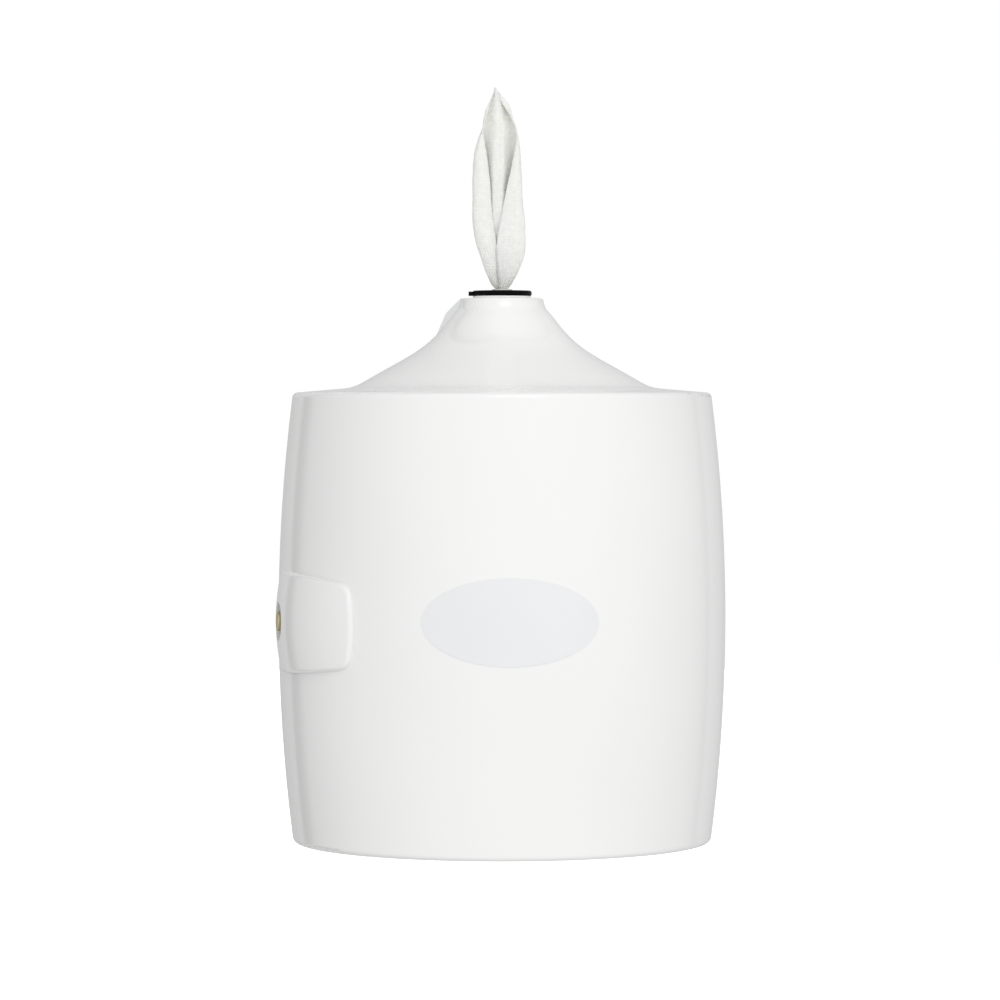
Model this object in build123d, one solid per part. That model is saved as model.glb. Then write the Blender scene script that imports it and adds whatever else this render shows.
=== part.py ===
from build123d import *
import math
import os

# Wall-mounted dispenser for a centre-pull roll of wipes, in millimetres.
# The wall is the plane y = 0, the front faces -Y, and z = 0 is the barrel's widest level.

# Casing
wall = 2.8
barrel_radius = 140.0
barrel_bulge = 9.1
rim_radius = barrel_radius - barrel_bulge
half_height = 140.0
rim_rise = 1.4
rim_rounding = 3.4
base_rounding = 4.0
least_rounding = 1.0
axis_inset = 2.0
axis_depth = barrel_radius - axis_inset
neck_height = 60.6
neck_rounding = 2.0
neck_flange = 3.0
bell_points = [
    (99.0, 4.1), (91.3, 6.0), (83.0, 10.4), (61.0, 22.8), (40.3, 38.6), (28.8, 52.5), (26.0, 58.6),
]
bell_start = (-1.0, 0.09)
bell_end = (-0.24, 1.0)

# Cuts run this far past a face, and a far cut clears the whole object
past = 1.0
beyond = 400.0
sink = 0.5

# Seam between the swinging cover and the rear housing
seam_offset = 28.0
seam_depth = axis_depth - seam_offset
seam_drop = 18.0
seam_level = half_height - seam_drop
seam_gap = 0.6
hood_back = 6.0
hood_overlap = 3.0

# Rear housing
back_wall = 3.5
rear_mid_taper = 16.0
rear_end_taper = 14.9
rear_mid_half_width = barrel_radius - rear_mid_taper
rear_end_half_width = rim_radius - rear_end_taper
rear_rise = 1.0
rear_top = half_height + rear_rise
section_step = 0.25
back_bevel = 6.0
lip_reach = 5.0
lip_thickness = 1.8
lip_clearance = 0.6
lip_root = 7.0
lip_top_gap = 5.0
rib_thickness = 2.0
rib_margin = 1.0
rib_end_gap = 4.0
back_rib_depth = 4.0
back_rib_x = 34.0
back_rib_z = 44.0
gable_points = [(56.6, 0.0), (39.2, 40.6), (33.6, 53.6), (24.1, 63.3)]
gable_foot = 10.0
keyhole_rise = 22.0
keyhole_level = half_height + keyhole_rise
keyhole_radius = 5.0
keyhole_slot = 5.0
keyhole_travel = 11.0
wall_screw_x = 140.0
wall_screw_z = 170.0
wall_screw_radius = 2.75
wall_pad_radius = 9.0
wall_pad_height = 2.0

# Hinge on the right
hinge_inset = 0.35
hinge_setback = 6.0
hinge_depth = seam_depth - hinge_setback
hinge_level = 62.0
knuckle_radius = 4.0
knuckle_length = 8.0
cover_knuckle_length = 13.0
knuckle_gap = 0.4
pin_radius = 1.5
pin_clearance = 0.2
pin_fit = 0.05
pin_head_radius = 2.6
pin_head_height = 1.2
pin_head_gap = 0.4
pin_stub = 1.5
pin_entry = 20.0
hinge_arm_thickness = 4.0
hinge_arm_reach = 14.0
hinge_arm_outset = 0.5
notch_clearance = 1.2
notch_reach = 15.0

# Roll and its shelf
roll_margin = 15.9
roll_radius = rim_radius - roll_margin
roll_height = 203.0
core_radius = 20.0
roll_clearance = 2.0
shelf_height = 12.0
shelf_level = shelf_height - half_height
shelf_thickness = 3.0
shelf_rim_height = 8.0
shelf_rim_thickness = 2.5
shelf_hole_radius = 14.0
shelf_hole_ring = 72.0
shelf_hole_count = 6
hub_clearance = 1.2
hub_height = 12.0
hub_thickness = 1.6
tongue_half_width = 58.0
tongue_overlap = 30.0
flange_height = 24.0
flange_screw_x = 42.0
flange_screw_rise = 15.0
flange_screw_level = shelf_level + flange_screw_rise
gusset_thickness = 2.0
gusset_depth = 12.0
gusset_height = 18.0
shelf_rail_x = 46.0
rail_front_gap = 12.0
seat_gap = 0.2

# Small screws
screw_radius = 2.0
screw_length = 9.0
screw_head_radius = 3.9
screw_head_height = 2.4
screw_head_edge = 1.0
screw_clearance = 0.25
screw_floor = 1.2
cross_length = 4.0
cross_width = 0.9
cross_depth = 0.8
boss_radius = 5.5

# Lock pad, swept about its own upright axis
pad_x = -30.0
pad_forward = 17.0
pad_proud = 1.3
pad_radius = barrel_radius + pad_proud + pad_x
pad_arc = 146.0
pad_arc_half_height = 60.0
pad_half_height = 26.0
pad_top_rise = 7.0
pad_width = 50.3
pad_right_x = pad_width - barrel_radius - pad_proud
pad_right_inset = 2.6
pad_back = 10.0
pad_corner = 9.0
pad_edge = 3.0

# Cam lock
lock_turn = 9.0
recess_radius = 12.0
recess_depth = 3.8
lock_space = 8.0
lock_boss_radius = 15.0
lock_boss_floor = 3.2
lock_flange_radius = 10.4
lock_flange_height = 1.4
lock_edge = 0.5
lock_barrel_radius = 8.2
lock_barrel_end = 17.6
lock_hole_clearance = 0.25
plug_face_radius = 6.15
plug_radius = 5.2
plug_clearance = 0.15
plug_proud = 0.3
plug_shoulder = 0.4
plug_face_gap = 0.1
tail_short = 0.2
key_slot_width = 1.7
key_slot_height = 7.6
key_slot_depth = 9.0
wafer_start = 1.6
wafer_count = 4
wafer_thickness = 0.7
wafer_pitch = 1.7
wafer_width = 7.0
wafer_clearance = 0.1
wafer_window_inset = 0.4
nut_across = 20.0
nut_height = 3.0
cam_gap = 0.3
cam_thickness = 2.0
cam_reach = 46.0
cam_square = 6.4
cam_square_play = 0.1
cam_corner = 2.0
cam_hub_radius = 8.0
cam_tip_half_width = 6.5
cam_screw_radius = 1.75
cam_screw_length = 7.0
washer_thickness = 0.8
washer_radius = 5.0
washer_play = 0.1
screw_slot_width = 1.0
screw_slot_depth = 1.0

# Strike that the cam hooks on
stud_reach = 40.0
stud_radius = 2.0
stud_play = 2.1
stud_head_radius = 3.0
stud_head_height = 1.0
notch_half_width = 3.0
notch_gap = 0.4
strike_clearance = 1.5
strike_thickness = 2.0
strike_half_height = 9.0
strike_margin = 4.0
strike_boss_rise = 3.94
strike_boss_border = 2.0
strike_boss_setback = 9.0
strike_boss_front = seam_depth - strike_boss_setback
strike_boss_length = 30.0
strike_screw_pitch = 14.0
strike_screw_depth = 6.0
strike_bend = 2.0
strike_joggle = 6.0
strike_fold = 0.6
strike_edge = 4.0

# Nozzle
collar_flange_radius = 18.2
collar_flange_height = 1.3
collar_barrel_radius = 16.4
collar_bore_radius = 13.4
collar_length = 9.0
collar_hook = 1.2
collar_hook_height = 2.4
collar_hook_width = 7.0
collar_hook_gap = 0.2
collar_hook_count = 4
collar_slit = 0.9
collar_slit_x = 4.4
collar_slit_end = 2.0
neck_hole_clearance = 0.2
ring_radius = 18.6
ring_height = 3.4
ring_edge = 0.8
ring_opening = 7.4
ring_plate = 1.8
ring_spigot = 13.0
ring_bore = 11.0
ring_tab = 1.6
ring_tab_height = 1.4
ring_tab_width = 4.6
ring_tab_gap = 0.3
ring_tab_play = 0.5
ring_twist = 30.0
ring_bead = 0.4
ring_bead_height = 0.8
ring_bead_gap = 0.1
lug_reach = 20.9
lug_width = 9.0
lug_corner = 1.2
lug_step = 0.2
lug_drop = 0.6
button_radius = 6.6
button_rise = 1.0
button_flange_radius = 10.8
button_flange_height = 1.6
button_thickness = 1.0
petal_count = 6
petal_slit = 0.4

# Wipes
strand_radius = 3.7
strand_clearance = 0.3
strand_core_gap = 0.6
strand_start_rise = 88.0
strand_bend_rise = 148.0
strand_bend_radius = 60.0
tail_gap = 0.4
tail_length = 110.6
tail_overlap = 4.0
wipe_sections = [
    (0.7, -0.3, 3.7, 3.7),
    (8.3, -0.2, 8.6, 6.0),
    (18.3, -0.1, 12.7, 8.4),
    (33.4, -1.6, 16.0, 10.6),
    (63.5, -3.0, 15.7, 10.4),
    (83.6, -2.8, 14.8, 9.2),
    (103.6, -1.8, 10.2, 6.2),
    (118.7, -2.4, 6.0, 3.6),
    (127.0, -4.6, 1.4, 0.9),
]

# Blank label
label_half_width = 53.2
label_half_height = 26.5
label_x = 1.8
label_level = 4.0
label_thickness = 0.3

neck_top = half_height + neck_height
button_top = neck_top + collar_flange_height + ring_height + button_rise
wipe_bottom = neck_top - tail_length
hinge_y = -hinge_depth
axis_y = -axis_depth


def box_between(x0, x1, y0, y1, z0, z1):
    centre = Pos((x0 + x1) / 2, (y0 + y1) / 2, (z0 + z1) / 2)
    return centre * Box(x1 - x0, y1 - y0, z1 - z0)


def upright(x, y, z0, z1, radius):
    return Pos(x, y, (z0 + z1) / 2) * Cylinder(radius, z1 - z0)


def along_y(x, z, y0, y1, radius):
    return Pos(x, (y0 + y1) / 2, z) * Rot(90, 0, 0) * Cylinder(radius, abs(y1 - y0))


def along_x(y, z, x0, x1, radius):
    return Pos((x0 + x1) / 2, y, z) * Rot(0, 90, 0) * Cylinder(radius, abs(x1 - x0))


def everything_from(y0, y1, z0, z1):
    """A cutting box over the object's whole width."""
    return box_between(-beyond, beyond, y0, y1, z0, z1)


def hinge_x():
    """The pin's place, just inside the barrel's outside at the seam."""
    barrel_at_hinge = barrel_radius - barrel_bulge * (hinge_level / half_height) ** 2
    return math.sqrt(barrel_at_hinge ** 2 - seam_offset ** 2) - hinge_inset


def round_volume(inset):
    """The barrel with its shoulder, bell and neck as a full solid, moved inward by inset.

    Only the outside has its corners rounded.
    """
    base = -half_height + inset
    base_radius = rim_radius - inset
    rim_corner = half_height + rim_rise - inset
    bell = [(r - inset, 0, half_height + z - inset) for r, z in bell_points]
    neck_z = neck_top - (neck_flange if inset else 0)
    top_radius = bell_points[-1][0] - inset
    widest = (barrel_radius - inset, 0, 0)
    edges = [
        Line((0, 0, base), (base_radius, 0, base)),
        ThreePointArc((base_radius, 0, base), widest, (base_radius, 0, rim_corner)),
        Line((base_radius, 0, rim_corner), bell[0]),
        Spline(*bell, tangents=[(bell_start[0], 0, bell_start[1]), (bell_end[0], 0, bell_end[1])]),
    ]
    if inset:
        edges.append(Line(bell[-1], (top_radius, 0, neck_z)))
        edges.append(Line((top_radius, 0, neck_z), (0, 0, neck_z)))
    else:
        turn = neck_rounding * (1 - math.sqrt(0.5))
        arc_end = (top_radius - neck_rounding, 0, neck_z)
        edges.append(ThreePointArc(bell[-1], (top_radius - turn, 0, neck_z - turn), arc_end))
        edges.append(Line(arc_end, (0, 0, neck_z)))
    edges.append(Line((0, 0, neck_z), (0, 0, base)))
    face = make_face(edges)
    if not inset:
        face = fillet(corner_at(face, base_radius, base), base_rounding)
        face = fillet(corner_at(face, base_radius, rim_corner), rim_rounding)
    return Pos(0, axis_y, 0) * revolve(face, Axis.Z)


def corner_at(face, x, z):
    return face.vertices().sort_by(lambda v: math.hypot(v.X - x, v.Z - z))[0]


def rear_outline(depth, mid_half_width, end_half_width, inset):
    """Upright section of the rear volume, parallel to the wall."""
    y = -depth
    low = -half_height + inset
    high = rear_top - inset
    mid = mid_half_width - inset
    end = end_half_width - inset
    edges = [
        ThreePointArc((end, y, low), (mid, y, 0), (end, y, high)),
        Line((end, y, high), (-end, y, high)),
        ThreePointArc((-end, y, high), (-mid, y, 0), (-end, y, low)),
        Line((-end, y, low), (end, y, low)),
    ]
    face = make_face(edges)
    by_level = face.vertices().sort_by(Axis.Z)
    face = fillet(by_level[:2], max(base_rounding - inset, least_rounding))
    by_level = face.vertices().filter_by(lambda v: abs(v.Z - high) < 1e-4)
    return fillet(by_level, max(rim_rounding - inset, least_rounding))


def side_half_width(depth, at_seam, at_wall):
    """Half width of the rear volume at a depth, tapering from the seam to the wall."""
    flush = math.sqrt(at_seam ** 2 - seam_offset ** 2) - section_step
    return at_wall + (flush - at_wall) * depth / seam_depth


def rear_section(depth, inset):
    mid = side_half_width(depth, barrel_radius, rear_mid_half_width)
    end = side_half_width(depth, rim_radius, rear_end_half_width)
    return rear_outline(depth, mid, end, inset)


def rear_volume(inset, reach=seam_depth, back=0.0):
    """The rear volume as a full solid, whose sides meet the barrel and taper to a bevelled back."""
    front = rear_section(reach, inset)
    shoulder = rear_section(back + back_bevel, inset)
    face = rear_section(back, inset + back_bevel)
    return loft([front, shoulder], ruled=True) + loft([shoulder, face], ruled=True)


def pad_volume(inset):
    """The lock pad's solid, limited by its outline seen from the front."""
    r = pad_radius - inset
    arc = pad_arc - inset
    height = pad_arc_half_height
    drop = arc - math.sqrt(arc ** 2 - height ** 2)
    section = make_face([
        ThreePointArc((r - drop, 0, -height), (r, 0, 0), (r - drop, 0, height)),
        Line((r - drop, 0, height), (0, 0, height)),
        Line((0, 0, height), (0, 0, -height)),
        Line((0, 0, -height), (r - drop, 0, -height)),
    ])
    turned = Pos(pad_x, axis_y - pad_forward, 0) * revolve(section, Axis.Z)
    top = pad_half_height - inset
    right = pad_right_x - inset
    inner = right - pad_right_inset
    left = -barrel_radius - height
    rise = pad_top_rise * (left - right) / (-barrel_radius - right)
    outline = make_face([
        Line((left, 0, top + rise), (inner, 0, top)),
        ThreePointArc((inner, 0, top), (right, 0, 0), (inner, 0, -top)),
        Line((inner, 0, -top), (left, 0, -top - rise)),
        Line((left, 0, -top - rise), (left, 0, top + rise)),
    ])
    near = outline.vertices().sort_by(Axis.X)[-2:]
    outline = Pos(0, axis_y + pad_back, 0) * fillet(near, pad_corner)
    pad = turned & extrude(outline, amount=beyond, dir=(0, -1, 0))
    if not inset:
        rounded = [e for e in pad.edges() if on_pad_surface(e)]
        pad = fillet(rounded, pad_edge)
    return pad


def on_pad_surface(edge):
    """True for the pad's outline edges on its curved front, left of its axis."""
    middle = edge.position_at(0.5)
    dx = middle.X - pad_x
    dy = middle.Y - (axis_y - pad_forward)
    drop = pad_arc - math.sqrt(pad_arc ** 2 - middle.Z ** 2)
    on_front = abs(math.hypot(dx, dy) - (pad_radius - drop)) < 0.01
    return on_front and middle.X < pad_x and edge.length > pad_edge / 2


def lock_frame(depth):
    """Location on the lock's axis at a depth below the pad's surface, with local +Z pointing inward."""
    a = math.radians(lock_turn)
    face_x = pad_x - pad_radius * math.cos(a)
    face_y = axis_y - pad_forward - pad_radius * math.sin(a)
    x = face_x + depth * math.cos(a)
    y = face_y + depth * math.sin(a)
    return Plane(origin=(x, y, 0), x_dir=(0, 0, 1), z_dir=(math.cos(a), math.sin(a), 0))


def lock_disc(depth0, depth1, radius):
    return lock_frame((depth0 + depth1) / 2) * Cylinder(radius, depth1 - depth0)


def lock_box(depth0, depth1, up0, up1, across0, across1):
    size = Box(up1 - up0, across1 - across0, depth1 - depth0)
    middle = Pos((up0 + up1) / 2, (across0 + across1) / 2, 0)
    return lock_frame((depth0 + depth1) / 2) * middle * size


def hinge_levels():
    return [-hinge_level, hinge_level]


def make_front_cover():
    seam_top = seam_level + seam_gap / 2
    low_rear = everything_from(-seam_depth - seam_gap / 2, beyond, -beyond, seam_top)
    hood_space = everything_from(-beyond, -hood_back, seam_top, beyond)
    behind = everything_from(-hood_back, beyond, 0, beyond)
    back_wall_space = everything_from(-hood_back - wall, beyond, -beyond, beyond)
    hood_reach = seam_depth + hood_overlap
    hood = rear_volume(0, hood_reach, hood_back) & hood_space
    hood_hollow = (rear_volume(wall, hood_reach, hood_back) & hood_space) - back_wall_space
    outer = round_volume(0) - low_rear - behind + hood + (pad_volume(0) - low_rear)
    boss_floor = recess_depth + lock_boss_floor
    boss = lock_disc(-lock_space, boss_floor, lock_boss_radius) & outer
    hollow = round_volume(wall) - back_wall_space
    cover = outer - hollow - hood_hollow - (pad_volume(wall) - low_rear) + boss
    cover = cover - lock_disc(-lock_space, recess_depth, recess_radius)
    cover = cover - lock_disc(0, boss_floor + past, lock_barrel_radius + lock_hole_clearance)
    hole_radius = collar_barrel_radius + neck_hole_clearance
    cover = cover - upright(0, axis_y, neck_top - neck_flange - past, neck_top + past, hole_radius)
    for level in hinge_levels():
        half = cover_knuckle_length / 2 + past
        cover = cover + cover_hinge_arm(level)
        cover = cover - upright(hinge_x(), hinge_y, level - half, level + half, pin_radius + pin_clearance)
    return cover


def cover_hinge_arm(level):
    half = cover_knuckle_length / 2
    knuckle = upright(hinge_x(), hinge_y, level - half, level + half, knuckle_radius)
    outside = hinge_x() + hinge_arm_outset
    inside = outside - hinge_arm_thickness
    arm = box_between(inside, outside, hinge_y - hinge_arm_reach, hinge_y, level - half, level + half)
    return knuckle + arm


def make_rear_housing():
    above = everything_from(-beyond, beyond, seam_level - seam_gap / 2, beyond)
    front = everything_from(-beyond, -seam_depth + seam_gap / 2, -beyond, beyond)
    hollow = rear_volume(wall, seam_depth + past) - everything_from(-back_wall, beyond, -beyond, beyond)
    housing = rear_volume(0) - above - front - hollow + gable_plate() + seam_lip() + strike_boss()
    housing = housing + back_ribs() + shelf_rails()
    hole_front = -back_wall - wall_pad_height
    for x, z in wall_screw_places():
        housing = housing + along_y(x, z, hole_front, -back_wall + sink, wall_pad_radius)
        housing = housing - along_y(x, z, hole_front - past, past, wall_screw_radius)
    boss_front = -back_wall - back_rib_depth
    for x in (-flange_screw_x, flange_screw_x):
        housing = housing + along_y(x, flange_screw_level, boss_front, -back_wall + sink, boss_radius)
        housing = housing - along_y(x, flange_screw_level, boss_front - past, -screw_floor, screw_radius)
    seat_x = strike_seat_x()
    for depth in strike_screw_depths():
        hole_end = seat_x - strike_screw_depth - past
        housing = housing - along_x(-depth, 0, hole_end, seat_x + past, screw_radius)
    for level in hinge_levels():
        housing = housing - hinge_notch(level) + housing_knuckles(level)
        far = cover_knuckle_length / 2 + knuckle_gap + knuckle_length
        low = level - far - pin_stub - past
        top = level + far
        housing = housing - upright(hinge_x(), hinge_y, low, top + past, pin_radius + pin_fit)
        head_space = pin_head_radius + pin_head_gap
        housing = housing - upright(hinge_x(), hinge_y, top, top + pin_entry, head_space)
    return housing


def wall_screw_places():
    xs = (-wall_screw_x / 2, wall_screw_x / 2)
    zs = (-wall_screw_z / 2, wall_screw_z / 2)
    return [(x, z) for x in xs for z in zs]


def back_ribs():
    """Two upright and two level ribs on the back wall."""
    half = rib_thickness / 2
    front = -back_wall - back_rib_depth
    back = -back_wall + sink
    low = -half_height + back_bevel + rib_margin
    reach = rear_end_half_width - rib_end_gap
    ribs = []
    for x in (-back_rib_x, back_rib_x):
        ribs.append(box_between(x - half, x + half, front, back, low, seam_level - back_bevel))
    for z in (-back_rib_z, back_rib_z):
        ribs.append(box_between(-reach, reach, front, back, z - half, z + half))
    return ribs[0] + ribs[1] + ribs[2] + ribs[3]


def shelf_rails():
    """Two rails on the floor that carry the shelf."""
    half = rib_thickness / 2
    front = -seam_depth + rail_front_gap
    back = -back_wall - rib_margin
    low = -half_height + wall - sink
    top = shelf_level - shelf_thickness
    left = box_between(-shelf_rail_x - half, -shelf_rail_x + half, front, back, low, top)
    right = box_between(shelf_rail_x - half, shelf_rail_x + half, front, back, low, top)
    return left + right


def gable_plate():
    """The part of the back plate that stands up behind the neck, with its hanging keyhole."""
    right = [(x, 0, half_height + z) for x, z in gable_points]
    left = [(-x, 0, half_height + z) for x, z in reversed(gable_points)]
    foot = seam_level - gable_foot
    half_foot = gable_points[0][0]
    outline = [(half_foot, 0, foot)] + right + left + [(-half_foot, 0, foot)]
    plate = extrude(make_face(Polyline(*outline, close=True)), amount=back_wall, dir=(0, -1, 0))
    front = -back_wall - past
    half_slot = keyhole_slot / 2
    slot_top = keyhole_level + keyhole_travel
    plate = plate - along_y(0, keyhole_level, front, past, keyhole_radius)
    plate = plate - box_between(-half_slot, half_slot, front, past, keyhole_level, slot_top)
    return plate - along_y(0, slot_top, front, past, half_slot)


def seam_lip():
    """Inner tongue along the sides and the base, which the closed cover slides over."""
    reach = seam_depth + lip_reach
    full = reach + past
    outer = wall + lip_clearance
    inner = outer + lip_thickness
    root_back = lip_root - seam_depth
    top = seam_level - lip_top_gap
    tongue = rear_volume(outer, full) - rear_volume(inner, full)
    tongue = tongue & everything_from(-reach, root_back, -beyond, top)
    root = rear_volume(wall - sink, full) - rear_volume(inner - sink, full)
    root = root & everything_from(sink - seam_depth, root_back, -beyond, top)
    half = strike_half_height + strike_margin
    strike_space = box_between(-beyond, 0, -full, root_back + past, -half, half)
    return tongue + root - strike_space


def hinge_notch(level):
    half = cover_knuckle_length / 2 + knuckle_gap
    front = -seam_depth - lip_reach - past
    back = hinge_y + knuckle_radius + notch_clearance
    x = hinge_x()
    return box_between(x - notch_reach, x + notch_reach, front, back, level - half, level + half)


def housing_knuckles(level):
    near = cover_knuckle_length / 2 + knuckle_gap
    far = near + knuckle_length
    upper = upright(hinge_x(), hinge_y, level + near, level + far, knuckle_radius)
    lower = upright(hinge_x(), hinge_y, level - far, level - near, knuckle_radius)
    return upper + lower


def make_hinge_pin(level):
    far = cover_knuckle_length / 2 + knuckle_gap + knuckle_length
    top = level + far
    shank = upright(hinge_x(), hinge_y, level - far - pin_stub, top, pin_radius)
    head = upright(hinge_x(), hinge_y, top, top + pin_head_height, pin_head_radius)
    return shank + head


def strike_screw_depths():
    middle = strike_boss_front - strike_boss_length / 2
    return [middle - strike_screw_pitch / 2, middle + strike_screw_pitch / 2]


def strike_seat_x():
    """Inner face of the strike's seat, stood off from the side wall's narrow end."""
    back = strike_boss_front - strike_boss_length
    return wall + strike_boss_rise - side_half_width(back, barrel_radius, rear_mid_half_width)


def strike_boss():
    """Flat seat for the strike on the left side wall."""
    y0 = -strike_boss_front
    half = strike_half_height + strike_boss_border
    block = box_between(-beyond, strike_seat_x(), y0, y0 + strike_boss_length, -half, half)
    return block & rear_volume(wall / 2)


def cam_at_stud():
    """Where the closed cam's middle plane meets the stud, as x and y."""
    a = math.radians(lock_turn)
    inward = cam_depth() - pad_radius
    x = pad_x + inward * math.cos(a) - stud_reach * math.sin(a)
    y = axis_y - pad_forward + inward * math.sin(a) + stud_reach * math.cos(a)
    return x, y


def strike_nose_x():
    """Outer face of the strike's nose, which lies beside the closed cam."""
    return cam_at_stud()[0] - cam_thickness / 2 - strike_clearance - strike_thickness


def make_strike_bracket():
    """Strap with one joggle: its foot lies on the seat, its nose stands beside the cam's tip."""
    t = strike_thickness
    seat = strike_seat_x()
    nose = strike_nose_x()
    stud_y = cam_at_stud()[1]
    front = stud_y - strike_edge
    foot_back = strike_boss_length - strike_boss_front
    bend = -strike_boss_front - strike_bend
    joggle = bend - strike_joggle
    outline = Polyline(
        (seat, foot_back, 0), (seat, bend, 0), (nose, joggle, 0), (nose, front, 0), (nose + t, front, 0),
        (nose + t, joggle - strike_fold, 0), (seat + t, bend - strike_fold, 0), (seat + t, foot_back, 0),
        close=True)
    strap = extrude(make_face(outline), amount=strike_half_height, dir=(0, 0, 1), both=True)
    for depth in strike_screw_depths():
        strap = strap - along_x(-depth, 0, seat - past, seat + t + past, screw_radius + screw_clearance)
    return strap - along_x(stud_y, 0, nose - past, nose + t + past, stud_radius)


def make_strike_stud():
    nose = strike_nose_x()
    stud_y = cam_at_stud()[1]
    end = nose + strike_thickness + strike_clearance + cam_thickness + stud_play
    shank = along_x(stud_y, 0, nose, end, stud_radius)
    head = along_x(stud_y, 0, end, end + stud_head_height, stud_head_radius)
    return shank + head


def screw_along(direction, point, length):
    """Pan-head screw whose head rests at the point; direction is where its shank goes."""
    plane = Plane(origin=point, z_dir=direction)
    shank = plane * Pos(0, 0, length / 2) * Cylinder(screw_radius, length)
    head = plane * Pos(0, 0, -screw_head_height / 2) * Cylinder(screw_head_radius, screw_head_height)
    top = head.faces().sort_by(Axis(point, direction))[0]
    head = chamfer(top.edges(), screw_head_edge)
    slot = Box(cross_length, cross_width, 2 * cross_depth)
    cross = plane * Pos(0, 0, -screw_head_height) * (slot + Rot(0, 0, 90) * slot)
    return shank + head - cross


def make_strike_screws():
    x = strike_seat_x() + strike_thickness
    length = strike_thickness + strike_screw_depth
    return [screw_along((-1, 0, 0), (x, -depth, 0), length) for depth in strike_screw_depths()]


def shelf_flange_front():
    return -back_wall - back_rib_depth - shelf_thickness


def make_shelf_screws():
    places = [(x, shelf_flange_front(), flange_screw_level) for x in (-flange_screw_x, flange_screw_x)]
    return [screw_along((0, 1, 0), place, screw_length) for place in places]


def make_roll_shelf():
    """Round tray with a rim and a hub, a tongue and an upright flange to the back wall."""
    low = shelf_level - shelf_thickness
    plate_radius = roll_radius + roll_clearance + shelf_rim_thickness
    disc = upright(0, axis_y, low, shelf_level, plate_radius)
    rim_top = shelf_level + shelf_rim_height
    rim = upright(0, axis_y, low, rim_top, plate_radius)
    rim = rim - upright(0, axis_y, low - past, rim_top + past, plate_radius - shelf_rim_thickness)
    front = shelf_flange_front()
    back = front + shelf_thickness
    tongue_front = axis_y + plate_radius - tongue_overlap
    tongue = box_between(-tongue_half_width, tongue_half_width, tongue_front, back, low, shelf_level)
    flange_top = shelf_level + flange_height
    flange = box_between(-tongue_half_width, tongue_half_width, front, back, low, flange_top)
    hub_radius = core_radius - hub_clearance
    hub_top = shelf_level + hub_height
    shelf = disc + rim + tongue + flange + upright(0, axis_y, low, hub_top, hub_radius)
    shelf = shelf - upright(0, axis_y, low - past, hub_top + past, hub_radius - hub_thickness)
    for k in range(shelf_hole_count):
        a = 2 * math.pi * (k + 0.5) / shelf_hole_count
        x = shelf_hole_ring * math.cos(a)
        y = axis_y + shelf_hole_ring * math.sin(a)
        shelf = shelf - upright(x, y, low - past, shelf_level + past, shelf_hole_radius)
    hole_radius = screw_radius + screw_clearance
    for x in (-flange_screw_x, flange_screw_x):
        shelf = shelf - along_y(x, flange_screw_level, front - past, back + past, hole_radius)
    gusset_x = tongue_half_width - gusset_thickness
    for x in (-gusset_x, 0, gusset_x):
        shelf = shelf + shelf_gusset(x, front)
    return shelf


def shelf_gusset(x, back):
    corner = (x, back, shelf_level)
    toe = (x, back - gusset_depth, shelf_level)
    web = Polyline(toe, corner, (x, back, shelf_level + gusset_height), close=True)
    return extrude(make_face(web), amount=gusset_thickness / 2, dir=(1, 0, 0), both=True)


def make_wipe_roll():
    low = shelf_level + seat_gap
    roll = upright(0, axis_y, low, low + roll_height, roll_radius)
    return roll - upright(0, axis_y, low - past, low + roll_height + past, core_radius)


def make_wipe_strand():
    """The strand drawn from the innermost turn of the roll, up the middle of the core."""
    start_x = strand_radius + strand_core_gap - core_radius
    start = (start_x, axis_y, shelf_level + strand_start_rise)
    bend = (0, axis_y, shelf_level + strand_bend_rise)
    path = FilletPolyline(start, bend, (0, axis_y, wipe_bottom - tail_gap), radius=strand_bend_radius)
    first = Vector(bend) - Vector(start)
    section = Plane(origin=start, z_dir=first.normalized()) * Circle(strand_radius)
    return sweep(section, path=path)


def make_wipe():
    """The wipe standing out of the nozzle: two side flaps folded forward over a hollow middle."""
    outline = [
        (-1.0, 0.1), (-0.86, -0.45), (-0.55, -0.78), (-0.3, -0.55), (-0.16, 0.02),
        (0.14, 0.05), (0.34, -0.5), (0.62, -0.85), (0.9, -0.4), (1.0, 0.15), (0.55, 0.62), (-0.5, 0.66),
    ]
    sections = []
    for rise, x, half_width, half_depth in wipe_sections:
        level = button_top + rise
        points = [(x + u * half_width, axis_y + v * half_depth, level) for u, v in outline]
        sections.append(make_face(Polyline(*points, close=True)))
    tail_top = button_top + wipe_sections[0][0] + tail_overlap
    return loft(sections, ruled=True) + upright(0, axis_y, wipe_bottom, tail_top, strand_radius)


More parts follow.
